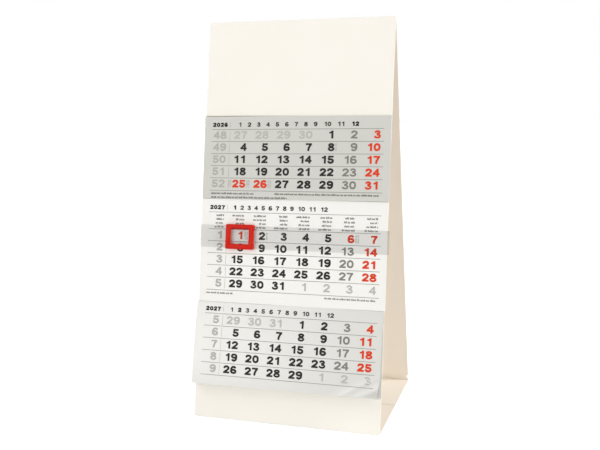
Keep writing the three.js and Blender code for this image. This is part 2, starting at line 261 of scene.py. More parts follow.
class Ink(Enum):
    """What a printed mark stands for, and the ink that it is printed in."""

    WEEKDAY = InkFinish("ink_black", (26, 24, 21), (38, 35, 31), weight=0.272)
    SATURDAY = InkFinish("ink_dark_grey", (122, 120, 113), (134, 132, 124), weight=0.235)
    HOLIDAY = InkFinish("ink_red", (213, 50, 8), (220, 64, 20), weight=0.272)
    WEEK = InkFinish("ink_mid_grey", (171, 171, 164), (181, 181, 174), weight=0.245)
    SPILL = InkFinish("ink_pale_grey", (180, 181, 174), (188, 189, 182), weight=0.235)
    RULE = InkFinish("ink_rule_grey", (118, 117, 112), (130, 129, 123))
    SMALL = InkFinish("ink_small_print", (96, 94, 89), (110, 108, 102))


@dataclass(frozen=True)
class CardSide:
    """One leaning side of the tent, with axes on the outer face of its card.

    x runs across the card, y up along it from the level of the top crease, and z away
    from the card.
    """

    origin: Vector
    across: Vector
    up: Vector
    outward: Vector

    @property
    def facing(self) -> float:
        """The angle about +X at which the side looks out, in radians from +Y."""
        return math.atan2(self.outward.z, self.outward.y)

    def place(self, x: float, y: float, z: float) -> Vector:
        """Turn a place on this side into one in the calendar's frame.

        Args:
            x, y, z: Metres along this side's axes.

        Returns:
            The same place in the calendar's frame.
        """
        return self.origin + self.across * x + self.up * y + self.outward * z

    def node_places(self, node: str) -> list[Vector]:
        """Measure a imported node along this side's axes.

        Args:
            node: The node's name.

        Returns:
            The places of its vertices.
        """
        offsets = [vertex.co - self.origin for vertex in frame["nodes"][node].data.vertices]
        return [Vector((o.dot(self.across), o.dot(self.up), o.dot(self.outward))) for o in offsets]

    def node_box(self, node: str) -> tuple[Vector, Vector]:
        """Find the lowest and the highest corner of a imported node.

        Args:
            node: The node's name.

        Returns:
            Both corners, along this side's axes.
        """
        axes = list(zip(*self.node_places(node)))
        return Vector([min(values) for values in axes]), Vector([max(values) for values in axes])


class Tent:
    """The creases and sides of the folded card, worked out from the joints."""

    def __init__(self) -> None:
        """Read the crease axes and lay out both sides."""
        self.front_crease, self.middle_crease, self.rear_crease = (
            Vector(JOINTS[f"{name}_crease_fold"]["pos_m"]) for name in ("front", "middle", "rear")
        )
        self.thickness = self.front_crease.z
        up = -Vector(JOINTS["band_slide"]["axis"]).normalized()
        self.panel_length = (self.middle_crease.y - self.front_crease.y) / up.y
        self.apex = self.front_crease + up * self.panel_length
        self.lean = math.asin(up.y)
        across = Vector((1, 0, 0))
        self.front = self.side(across, up)
        self.rear = self.side(-across, Vector((0, -up.y, up.z)))
        low, high = self.front.node_box("front_panel")
        self.half_width = (high.x - low.x) / 2

    def side(self, across: Vector, up: Vector) -> CardSide:
        """Lay out a side that hangs from the top crease.

        Args:
            across: Its direction to the right, seen from outside.
            up: Its direction up along the card.

        Returns:
            The side.
        """
        outward = across.cross(up)
        return CardSide(self.apex + outward * self.thickness, across, up, outward)


def spread(low: float, high: float, steps: int) -> list[float]:
    """Divide a stretch evenly.

    Args:
        low: The first value.
        high: The last value.
        steps: How many intervals there are.

    Returns:
        The steps + 1 values.
    """
    return [low + (high - low) * step / steps for step in range(steps + 1)]


def add_object(name: str, data: bpy.types.ID) -> bpy.types.Object:
    """Make an object and link it to the scene.

    Args:
        name: Its name.
        data: Its mesh, light or camera.

    Returns:
        The new object.
    """
    made = bpy.data.objects.new(name, data)
    bpy.context.scene.collection.objects.link(made)
    return made


def finish_mesh(
    name: str, vertices: Iterable[Vector], faces: Iterable[Sequence[int]], finishes: Sequence[Finish],
    face_slots: Sequence[int] = (),
) -> bpy.types.Object:
    """Make an object of vertices and faces, facing out and smoothly shaded.

    Args:
        name: The piece's name.
        vertices: Places in the calendar's frame.
        faces: Vertex numbers of each face.
        finishes: The piece's finishes.
        face_slots: The finish of each face, counted from 0, or nothing for the first.

    Returns:
        The new object, linked to the scene.
    """
    mesh = bpy.data.meshes.new(name)
    mesh.from_pydata([tuple(v) for v in vertices], [], [tuple(f) for f in faces])
    for finish in finishes:
        mesh.materials.append(finish.material())
    if face_slots:
        mesh.polygons.foreach_set("material_index", face_slots)
    work = bmesh.new()
    work.from_mesh(mesh)
    bmesh.ops.recalc_face_normals(work, faces=work.faces)
    work.to_mesh(mesh)
    work.free()
    mesh.shade_smooth()
    mesh.set_sharp_from_angle(angle=SHARP_ANGLE)
    return add_object(name, mesh)


def slab(
    name: str, columns: Sequence[float], rows: Sequence[float], point: SheetPoint,
    finishes: Sequence[Finish],
) -> bpy.types.Object:
    """Make a closed sheet between a front and a back surface.

    Args:
        name: The piece's name.
        columns, rows: Values of the two surface parameters.
        point: Gives the place of a column and a row, on the front or, if True, the back.
        finishes: The front's, the back's and the edge's finish; the last is repeated.

    Returns:
        The new object.
    """
    wide, tall = len(columns), len(rows)
    vertices = [point(column, row, back) for back in (False, True) for row in rows for column in columns]
    behind = wide * tall
    faces: list[tuple[int, ...]] = []
    slots: list[int] = []
    last = len(finishes) - 1
    for row in range(tall - 1):
        for column in range(wide - 1):
            corner = row * wide + column
            quad = (corner, corner + 1, corner + 1 + wide, corner + wide)
            faces += [quad, tuple(behind + vertex for vertex in reversed(quad))]
            slots += [0, min(1, last)]
    rim = list(range(wide))
    rim += [row * wide + wide - 1 for row in range(1, tall)]
    rim += [(tall - 1) * wide + column for column in range(wide - 2, -1, -1)]
    rim += [row * wide for row in range(tall - 2, 0, -1)]
    faces += [(here, there, behind + there, behind + here) for here, there in zip(rim, rim[1:] + rim[:1])]
    slots += [min(2, last)] * len(rim)
    return finish_mesh(name, vertices, faces, finishes, slots)


def dress(piece: bpy.types.Object, body: str, slot: str, *nodes: str) -> None:
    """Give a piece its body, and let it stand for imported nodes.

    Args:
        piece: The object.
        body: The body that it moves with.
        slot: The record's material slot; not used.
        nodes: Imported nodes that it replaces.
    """
    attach(piece, body)
    if nodes:
        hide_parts(*nodes)
    LOG.info("made %s on %s", piece.name, body)


def repaint(node: str, finish: Finish) -> None:
    """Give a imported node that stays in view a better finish.

    Args:
        node: The node's name.
        finish: Its new finish.
    """
    shown = frame["nodes"][node]
    if not shown.material_slots:
        shown.data.materials.append(finish.material())
    for slot in shown.material_slots:
        slot.material = finish.material()
    LOG.info("repainted %s", node)


@dataclass
class FoldedCard:
    """The creased sheet: five panels with soft cut edges, and the bends between them."""

    tent: Tent
    edge_radius: float = 0.09 * MM
    bow: float = 0.35 * MM
    edge_columns: tuple[float, ...] = (0.0, 0.3, 1.0, 1.6)
    across_steps: int = 24
    along_steps: int = 60
    run_steps: int = 3
    bend_steps: int = 14
    bend_inner_radius: float = 0.05 * MM
    bend_edge_share: float = 0.9
    score_steps: int = 12
    score_half_width: float = 0.4 * MM
    score_depth: float = 0.2 * MM
    score_clearance: float = 0.02 * MM
    tab_level: float = field(init=False)

    def __post_init__(self) -> None:
        """Work out how far the glued tab's outer face stands off the rear card's."""
        low, _high = self.tent.rear.node_box("rear_glue_tab")
        self.tab_level = low.z + self.tent.thickness

    def columns(self) -> list[float]:
        """Give the shares of the half width, closer together at the rounded edges.

        Returns:
            Shares from -1 to 1.
        """
        edge = self.edge_radius / self.tent.half_width
        rounding = [-1.0 + column * edge for column in self.edge_columns]
        flat = spread(rounding[-1], -rounding[-1], self.across_steps)[1:-1]
        return rounding + flat + [-share for share in reversed(rounding)]

    def inset(self, share: float) -> float:
        """Tell how far the faces draw in towards a rounded cut edge.

        Args:
            share: Place across the card, from -1 to 1.

        Returns:
            Metres that each face is drawn in.
        """
        into_edge = max(self.edge_radius - (1 - abs(share)) * self.tent.half_width, 0.0)
        return self.edge_radius - math.sqrt(max(self.edge_radius ** 2 - into_edge ** 2, 0.0))

    def panel(
        self, name: str, side: CardSide, top: float, foot: float, level: float = 0.0,
        finishes: Sequence[Finish] = CARD_FACES, bow: float = 0.0, relief: float = 0.0,
        taper: float = 0.0,
    ) -> bpy.types.Object:
        """Make a panel that lies on a side of the tent.

        Args:
            name: The piece's name.
            side: The side that it belongs to.
            top, foot: Its ends along the side.
            level: How far its outer face stands off the side's own face.
            finishes: Those of its outer face, its inner face and its cut edge.
            bow: How far its middle bends outwards.
            relief: How far its inner face is held back, so that a folded tent lies flat.
            taper: How much narrower each half is at the top.

        Returns:
            The new object.
        """
        depth = self.tent.thickness - relief

        def point(share: float, y: float, inner: bool) -> Vector:
            """A place on the panel's outer or inner face."""
            inset = self.inset(share)
            rise = bow * math.sin(math.pi * (top - y) / (top - foot)) * (1 - share ** 4)
            half_width = self.tent.half_width - taper * (y - foot) / (top - foot)
            return side.place(share * half_width, y, level + rise + (inset - depth if inner else -inset))

        return slab(name, self.columns(), spread(top, foot, self.along_steps), point, finishes)

    def bend(
        self, name: str, centre: Vector, start: float, end: float, run: float = 0.0,
    ) -> bpy.types.Object:
        """Make the bent strip of card round a crease.

        Args:
            name: The piece's name.
            centre: A point on the axis that the card bends round.
            start, end: Angles of its first and last edge about +X, in radians from +Y.
            run: How far it lies flat before it bends.

        Returns:
            The new object.
        """
        def point(share: float, along: float, inner: bool) -> Vector:
            """A place on the strip: along is below 0 where it lies flat, then 0 to 1."""
            inset = self.inset(share) * self.bend_edge_share
            reach = self.bend_inner_radius + inset if inner else self.tent.thickness - inset
            angle = start + (end - start) * max(along, 0.0)
            y = reach * math.cos(angle) + min(along, 0.0) * run
            return centre + Vector((share * self.tent.half_width, y, reach * math.sin(angle)))

        flat_rows = spread(-1.0, 0.0, self.run_steps)[:-1] if run else []
        rows = flat_rows + spread(0.0, 1.0, self.bend_steps)
        return slab(name, self.columns(), rows, point, CARD_FACES)

    def scored_strip(self) -> bpy.types.Object:
        """Make the scored strip between the two halves of the base.

        Returns:
            The new object.
        """
        tent = self.tent

        def point(share: float, across: float, under: bool) -> Vector:
            """A place on the strip, with the score pressed into its upper face."""
            inset = self.inset(share)
            upper = tent.thickness - inset - self.score_depth * (1 - across * across)
            z = inset + self.score_clearance if under else upper
            return tent.middle_crease + Vector((share * tent.half_width, across * self.score_half_width, z))

        rows = spread(-1.0, 1.0, self.score_steps)
        # The score's upper face takes the darker cut-edge colour: painted shade along the crease.
        return slab("middle_crease", self.columns(), rows, point, (CARD_EDGE_AND_SCORE_SHADE, CARD, CARD_EDGE_AND_SCORE_SHADE))

    def join(self, piece: bpy.types.Object, first: str, second: str, start: Vector, end: Vector) -> None:
        """Bake a bend's placement into its mesh, and log the two bodies at its ends.

        Args:
            piece: The bend.
            first, second: The bodies at its two ends.
            start, end: Where those ends are; not used.
        """
        tuple(start)
        tuple(end)
        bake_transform(piece)
        LOG.info("made %s between %s and %s", piece.name, first, second)

    def build_sides(self) -> None:
        """Make the front panel, the rear panel and the glued tab."""
        tent, relief = self.tent, self.bend_inner_radius
        front = self.panel("front_card", tent.front, 0.0, -tent.panel_length, relief=relief)
        dress(front, "front_card", "card", "front_panel")
        low, _high = tent.rear.node_box("rear_panel")
        rear = self.panel("rear_card", tent.rear, 0.0, low.y, bow=self.bow, relief=relief)
        dress(rear, "rear_card", "card", "rear_panel")
        places = tent.rear.node_places("rear_glue_tab")
        top = max(place.y for place in places)
        narrow = max(place.x for place in places if place.y > top - self.edge_radius)
        foot = -tent.panel_length - self.tab_level * math.tan(tent.lean)
        tab = self.panel("glued_tab", tent.rear, top, foot, self.tab_level, taper=tent.half_width - narrow)
        dress(tab, "rear_card", "card", "rear_glue_tab")

    def build_base(self) -> None:
        """Make the two halves of the base."""
        tent = self.tent
        floor = CardSide(Vector(), Vector((1, 0, 0)), Vector((0, 1, 0)), Vector((0, 0, 1)))
        finishes = (CARD_INSIDE_PAINTED_WARM, CARD, CARD_EDGE_AND_SCORE_SHADE)
        for name, crease in (("base_front", tent.front_crease), ("base_rear", tent.rear_crease)):
            score = math.copysign(self.score_half_width, crease.y - tent.middle_crease.y)
            near = tent.middle_crease.y + score
            half = self.panel(name, floor, near, crease.y, tent.thickness, finishes)
            dress(half, name, "card", f"{name}_half")

    def build_creases(self) -> None:
        """Make the four bends between the panels that they join."""
        tent, down = self.tent, -0.5 * math.pi

        def outer(angle: float) -> Vector:
            """The step from a bend's axis to its outer face."""
            return tent.thickness * Vector((0, math.cos(angle), math.sin(angle)))

        facing, rear_facing = tent.front.facing, tent.rear.facing
        dress(self.bend("top_crease", tent.apex, facing, rear_facing), "front_card", "card")
        centre = tent.front_crease
        front = self.bend("front_crease", centre, facing, 2 * math.pi + down)
        self.join(front, "front_card", "base_front", centre + outer(facing), centre + outer(down))
        run = self.tab_level / math.cos(tent.lean)
        centre = tent.rear_crease + Vector((0, run, 0))
        rear = self.bend("rear_crease", centre, down, rear_facing, run)
        start, end = tent.rear_crease + outer(down), centre + outer(rear_facing)
        self.join(rear, "base_rear", "rear_card", start, end)
        start, end = (
            tent.middle_crease + Vector((0, y, tent.thickness))
            for y in (-self.score_half_width, self.score_half_width)
        )
        self.join(self.scored_strip(), "base_front", "base_rear", start, end)

    def build(self) -> None:
        """Make the panels and the bends, and dress the glue."""
        self.build_sides()
        self.build_base()
        self.build_creases()
        repaint("tab_glue_film", ADHESIVE)


@dataclass(frozen=True)
class PadShape:
    """How a pad's paper lies: how it fans, rolls up at a corner, waves and is stuck on. Metres.

    The roll starts on a line across the lower right corner, from a place on the lower
    edge to one on the right edge. The pad is stuck on with its right end higher than its
    left end by `askew`, and to the right by `moved`. Its feet come down by `hang` over the
    gap under the pad.
    """

    fan_left: float
    fan_right: float
    askew: float
    hang: float = 0.0
    moved: float = 0.0
    hang_power: int = 12
    wave: float = 0.03 * MM
    waves_across: float = 0.9
    waves_down: float = 0.25
    waves_start: float = 0.1
    roll_radius: float = 0.0
    roll_along_foot: float = 27 * MM
    roll_up_side: float = 14 * MM
    roll_handed_on: float = 0.25
    steps_across: int = 24
    steps_down: int = 16


@dataclass(frozen=True)
class LeafSurface:
    """The printed face of one leaf, addressed in metres from its left edge and its head."""

    side: CardSide
    left: float
    head: float
    width: float
    height: float
    back: float
    thickness: float
    shape: PadShape
    from_front: int
    behind: float

    def point(self, u: float, v: float, above: float) -> Vector:
        """Find a place on or over the leaf.

        The leaf lifts as a clamped strip does, and loses at the foot what the lift takes
        up of its length.

        Args:
            u, v: Distances from the leaf's left edge and down from its head.
            above: Distance above the back face.

        Returns:
            The place in the calendar's frame.
        """
        shape = self.shape
        across, down = u / self.width, v / self.height
        fan = (shape.fan_left + (shape.fan_right - shape.fan_left) * across) * self.behind
        drawn_up = 1.125 * fan ** 2 / self.height * (down - 2 / 3 * down ** 3 + down ** 5 / 5)
        drawn_up += shape.askew * (across - 0.5) - shape.hang * down ** shape.hang_power
        phase = shape.waves_across * across + shape.waves_down * down + shape.waves_start
        ripple = 0.5 + 0.5 * math.sin(math.tau * phase)
        lift = fan * (1.5 * down - 0.5 * down ** 3) + shape.wave * ripple * down * self.behind
        x = self.left + u + shape.moved + shape.askew * v / self.width
        y = self.head - (v - drawn_up if self.from_front else max(v - drawn_up, 0.0))
        z = self.back + lift + above
        if shape.roll_radius:
            corner = Vector((1 / shape.roll_along_foot, 1 / shape.roll_up_side))
            past = 1 - (self.width - u) * corner.x - (self.height - v) * corner.y
            rolled = max(past, 0.0) / corner.length
            corner.normalize()
            radius = shape.roll_radius / shape.roll_handed_on ** self.from_front
            reach = (radius - above) * math.sin(rolled / radius) - rolled
            x += corner.x * reach
            y -= corner.y * reach
            z += (radius - above) * (1 - math.cos(rolled / radius))
        return self.side.place(x, y, z)


@dataclass(frozen=True)
class DigitShapes:
    """The ten digits of a wide, plain grotesque, drawn as strokes and turned into outlines.

    A digit is 1 high. The outlines are traced on a grid of cells.
    """

    width: float = 0.875
    advance: float = 0.955
    one_closer: float = 0.1
    one_pair_share: float = 0.5
    crowded_share: float = 0.88
    thin_share: float = 0.86
    arc_steps: int = 20
    cell: float = 0.022
    margin: float = 0.08
    off_zero: float = 1e-7
    beyond: float = 9.0

    def length(self, count: int) -> float:
        """Tell how long a number is.

        Args:
            count: How many digits it has.

        Returns:
            Its length, as a multiple of its height.
        """
        return self.width + (count - 1) * self.advance

    def arc(
        self, x: float, y: float, rx: float, ry: float, start: float, end: float, power: float = 2.0,
    ) -> Loop:
        """Draw part of an ellipse, or of a squarer superellipse.

        Args:
            x, y: Its centre.
            rx, ry: Its radii.
            start, end: Its angles in degrees.
            power: 2 for an ellipse, more for squarer shoulders.

        Returns:
            Its points.
        """
        def reach(turn: float) -> float:
            """A cosine or a sine, bent by the power."""
            return math.copysign(abs(turn) ** (2 / power), turn)

        angles = spread(math.radians(start), math.radians(end), self.arc_steps)
        return [(x + rx * reach(math.cos(a)), y + ry * reach(math.sin(a))) for a in angles]

    def strokes(self, digit: str, weight: float) -> list[tuple[Loop, float]]:
        """Give a digit's centre lines and how heavy each one is.

        Args:
            digit: The digit.
            weight: The upright strokes' width.

        Returns:
            Open or closed lines, each with its own width.
        """
        w, middle = self.width, self.width / 2
        if digit in "38":
            weight *= self.crowded_share
        thin = weight * self.thin_share
        h, t = weight / 2, thin / 2
        if digit == "0":
            return [(self.arc(middle, 0.5, middle - h, 0.5 - h, 0, 360, 2.35), weight)]
        if digit == "1":
            stem = w - 0.2 - h
            flag = [(stem - 0.4, 0.72), (stem - 0.26, 0.735), (stem - 0.12, 0.79), (stem - 0.03, 0.93)]
            return [([(stem, 0), (stem, 1)], weight), (flag, thin * 0.9)]
        if digit == "2":
            bowl = self.arc(middle - 0.005, 0.69, middle - h - 0.01, 0.31 - t, 175, -32)
            foot = [(0.5, 0.4), (h + 0.15, h + 0.13), (h + 0.03, t)]
            return [(bowl + foot, weight), ([(0.0, t), (w - 0.01, t)], thin)]
        if digit == "3":
            upper = self.arc(0.42, 0.748, 0.38 - h, 0.252 - t, 168, -90)
            lower = self.arc(0.43, 0.286, 0.435 - h, 0.286 - t, 90, -170)
            return [(upper + [(0.32, 0.496 + t)], weight), ([(0.32, 0.572 - t)] + lower, weight)]
        if digit == "4":
            stem = w - 0.14 - h
            return [
                ([(stem, 0), (stem, 1)], weight), ([(-0.02, 0.215 + t), (w + 0.01, 0.215 + t)], thin),
                ([(t * 0.9, 0.235 + t), (stem + h * 0.1, 1 - t * 0.7)], thin),
            ]
        if digit == "5":
            bowl = self.arc(0.415, 0.335, 0.44 - h, 0.335 - t, 132, -168)
            return [
                ([(0.14, 1 - t), (w - 0.07, 1 - t)], thin), ([(0.12 + t, 1.0), (0.04 + t, 0.46)], thin),
                (bowl, weight),
            ]
        if digit == "6":
            bowl = self.arc(middle, 0.315, middle - h, 0.315 - t, 0, 360, 2.1)
            back = self.arc(middle + 0.02, 0.5, middle - h + 0.02, 0.5 - t, 48, 180, 2.2)
            return [(bowl, weight), (back + [(h, 0.33)], weight)]
        if digit == "7":
            leg = [(w - h * 1.1, 1 - t * 1.3), (0.58, 0.66), (0.43, 0.36), (0.37, 0.0)]
            return [([(0.02, 1 - t), (w - 0.01, 1 - t)], thin), (leg, weight)]
        if digit == "8":
            upper = self.arc(middle, 0.752, middle - h - 0.04, 0.248 - t, 0, 360)
            return [(upper, weight), (self.arc(middle, 0.288, middle - h, 0.288 - t, 0, 360), weight)]
        return [([(w - x, 1 - y) for x, y in line], heavy) for line, heavy in self.strokes("6", weight)]

    def distance(self, line: Loop, x: float, y: float) -> float:
        """Measure from a place to a stroke's centre line, with the stroke's ends cut square.

        Args:
            line: The centre line.
            x, y: The place.

        Returns:
            The distance, or a large one beyond a square end.
        """
        best, last = self.beyond, len(line) - 2
        closed = math.dist(line[0], line[-1]) < 1e-6
        for index, ((ax, ay), (bx, by)) in enumerate(zip(line, line[1:])):
            dx, dy = bx - ax, by - ay
            length = dx * dx + dy * dy
            if length < 1e-12:
                continue
            share = ((x - ax) * dx + (y - ay) * dy) / length
            if not closed and ((index == 0 and share < 0) or (index == last and share > 1)):
                continue
            share = min(max(share, 0.0), 1.0)
            best = min(best, math.hypot(x - ax - share * dx, y - ay - share * dy))
        return best

    @cache
    def outlines(self, digit: str, weight: float) -> list[Loop]:
        """Trace a digit's outlines, once for each weight.

        Args:
            digit: The digit.
            weight: The stroke's width.

        Returns:
            Closed loops, outer ones and holes.
        """
        lines = self.strokes(digit, weight)
        counts = [round((size + 2 * self.margin) / self.cell) + 1 for size in (self.width, 1)]
        xs, ys = ([step * self.cell - self.margin for step in range(count)] for count in counts)

        def depth(x: float, y: float) -> float:
            """How far a place is from the nearest stroke's edge, never quite 0."""
            return min(self.distance(line, x, y) - heavy / 2 for line, heavy in lines) + self.off_zero

        return [thinned(loop) for loop in traced([[(x, y, depth(x, y)) for x in xs] for y in ys])]


def traced(grid: list[list[tuple[float, float, float]]]) -> list[Loop]:
    """Trace the lines where a field crosses zero.

    Args:
        grid: Rows of places, each with the field's value there, negative inside.

    Returns:
        Closed loops of points.
    """
    following: dict[frozenset, list[frozenset]] = {}
    found: dict[frozenset, tuple[float, float]] = {}
    for row in range(len(grid) - 1):
        for column in range(len(grid[0]) - 1):
            corners = [(row, column), (row, column + 1), (row + 1, column + 1), (row + 1, column)]
            cut = []
            for ends in zip(corners, corners[1:] + corners[:1]):
                (ax, ay, da), (bx, by, db) = (grid[r][c] for r, c in sorted(ends))
                if (da < 0) != (db < 0):
                    share = da / (da - db)
                    cut.append(frozenset(ends))
                    found[cut[-1]] = (ax + (bx - ax) * share, ay + (by - ay) * share)
            for first, second in zip(cut[::2], cut[1::2]):
                following.setdefault(first, []).append(second)
                following.setdefault(second, []).append(first)
    loops: list[Loop] = []
    while following:
        here, chain = next(iter(following)), []
        while here:
            chain.append(found[here])
            ends = following.pop(here)
            here = next((edge for edge in reversed(ends) if edge in following), None)
        if len(chain) > 3:
            loops.append(chain)
    return loops


def thinned(loop: Loop, tolerance: float = 0.0025) -> Loop:
    """Drop points of a loop that lie almost on the line between their neighbours.

    Args:
        loop: A closed loop.
        tolerance: How far a dropped point may lie off that line.

    Returns:
        The thinner loop.
    """
    kept = [loop[0]]
    waiting: Loop = []
    for point in loop[1:] + loop[:1]:
        (ax, ay), (bx, by) = kept[-1], point
        length = math.hypot(bx - ax, by - ay) or 1.0
        off = [abs((bx - ax) * (ay - y) - (ax - x) * (by - ay)) / length for x, y in waiting]
        if waiting and max(off) > tolerance:
            kept.append(waiting[-1])
            waiting = []
        waiting.append(point)
    return kept


DIGITS = DigitShapes()


@dataclass
class InkLayer:
    """One ink on one leaf: closed, paper-thin shapes that follow the leaf."""

    surface: LeafSurface
    gap: float = 0.012 * MM
    film: float = 0.02 * MM
    longest_piece: float = 2.5 * MM
    places: list[tuple[float, float, int]] = field(default_factory=list)
    faces: list[tuple[int, ...]] = field(default_factory=list)

    def add_shape(self, loops: list[Loop]) -> None:
        """Add a filled shape.

        Args:
            loops: Its outer loops and holes, in metres from the leaf's left and head.
        """
        first = len(self.places)
        flat = [point for loop in loops for point in loop]
        under = len(flat)
        self.places += [(u, v, level) for level in (1, 0) for u, v in flat]
        for triangle in tessellate_polygon([[Vector((u, v, 0)) for u, v in loop] for loop in loops]):
            self.faces.append(tuple(first + vertex for vertex in triangle))
            self.faces.append(tuple(first + under + vertex for vertex in reversed(triangle)))
        for loop in loops:
            for step in range(len(loop)):
                here, there = first + step, first + (step + 1) % len(loop)
                self.faces.append((here, there, there + under, here + under))
            first += len(loop)

    def add_bar(self, left: float, right: float, top: float, bottom: float) -> None:
        """Add a bar, in pieces that are short enough to follow the leaf.

        Args:
            left, right: Its ends.
            top, bottom: Its edges.
        """
        steps = max(1, math.ceil((right - left) / self.longest_piece))
        start = len(self.places)
        end = start + 4 * steps
        for u in spread(left, right, steps):
            self.places += [(u, top, 1), (u, bottom, 1), (u, bottom, 0), (u, top, 0)]
        for here in range(start, end, 4):
            for a, b in ((0, 1), (1, 2), (2, 3), (3, 0)):
                self.faces.append((here + a, here + b, here + 4 + b, here + 4 + a))
        self.faces += [(start, start + 3, start + 2, start + 1), (end, end + 1, end + 2, end + 3)]

    def add_number(self, text: str, right: float, top: float, height: float, weight: float) -> None:
        """Add a number, set against its right edge.

        Args:
            text: Its digits.
            right: Where it ends.
            top: Its upper edge.
            height: The digits' height.
            weight: The strokes' width as a share of the height.
        """
        for place, digit in enumerate(text):
            left = right - DIGITS.length(len(text) - place) * height
            following = text[place + 1:place + 2]
            if digit == "1" and following:
                left += DIGITS.one_closer * height * (DIGITS.one_pair_share if following == "1" else 1.0)
            self.add_shape([
                [(left + x * height, top + (1 - y) * height) for x, y in loop]
                for loop in DIGITS.outlines(digit, weight)
            ])

    def build(self, name: str, body: str, slot: str, finish: Finish) -> None:
        """Make the layer's object, if it holds anything.

        Args:
            name: The piece's name.
            body: The body that it moves with.
            slot: The record's material slot.
            finish: The ink.
        """
        if self.faces:
            lowest = self.surface.thickness + self.gap
            vertices = [self.surface.point(u, v, lowest + level * self.film) for u, v, level in self.places]
            dress(finish_mesh(name, vertices, self.faces, [finish]), body, slot)


@dataclass(frozen=True)
class Month:
    """One month's days, as a page prints them."""

    year: int
    number: int
    first_weekday: int
    days: int
    days_before: int
    first_week: int
    holidays: frozenset[int] = frozenset()
    noted: frozenset[int] = frozenset()

    def cell(self, day: int, weekday: int) -> tuple[int, Ink]:
        """Give what a page prints for a day.

        Args:
            day: The day, below 1 or too high if it belongs to a month beside this one.
            weekday: Its weekday, counted from 0.

        Returns:
            Its number and its ink.
        """
        if day < 1:
            return self.days_before + day, Ink.SPILL
        if day > self.days:
            return day - self.days, Ink.SPILL
        if weekday == 6 or day in self.holidays:
            return day, Ink.HOLIDAY
        return day, Ink.SATURDAY if weekday == 5 else Ink.WEEKDAY

    def rows(self) -> list[tuple[int, list[tuple[int, Ink]]]]:
        """Lay the month out by weeks.

        Returns:
            For each row the week's number and seven days with their inks.
        """
        mondays = range(1 - self.first_weekday, self.days + 1, 7)
        return [
            ((self.first_week + row - 1) % 52 + 1, [self.cell(monday + day, day) for day in range(7)])
            for row, monday in enumerate(mondays)
        ]


@dataclass(frozen=True)
class PageLayout:
    """Where a page's rules, rows and columns stand, in metres from the leaf's head and left.

    The lines of small print under the last row are given as left, right and drop in
    millimetres.
    """

    title_rule: float
    first_row: float
    row_pitch: float
    last_row: float
    rule_left: float
    rule_right: float
    title_width: float
    digit_drop: float
    weekday_heads: bool = False
    notes: tuple[tuple[float, float, float], ...] = ()
    week_share: float = 0.0911
    divider_share: float = 0.1117
    monday_share: float = 0.2162
    day_share: float = 0.12784

    def column(self, share: float) -> float:
        """Find a place across the page from its share of the rules' length."""
        return self.rule_left + (self.rule_right - self.rule_left) * share

    @property
    def week_right(self) -> float:
        """Where the week numbers end."""
        return self.column(self.week_share)

    @property
    def divider(self) -> float:
        """Where the short upright lines stand."""
        return self.column(self.divider_share)

    def day_right(self, weekday: int) -> float:
        """Find where a weekday's numbers end, counting from 0."""
        return self.column(self.monday_share + self.day_share * weekday)


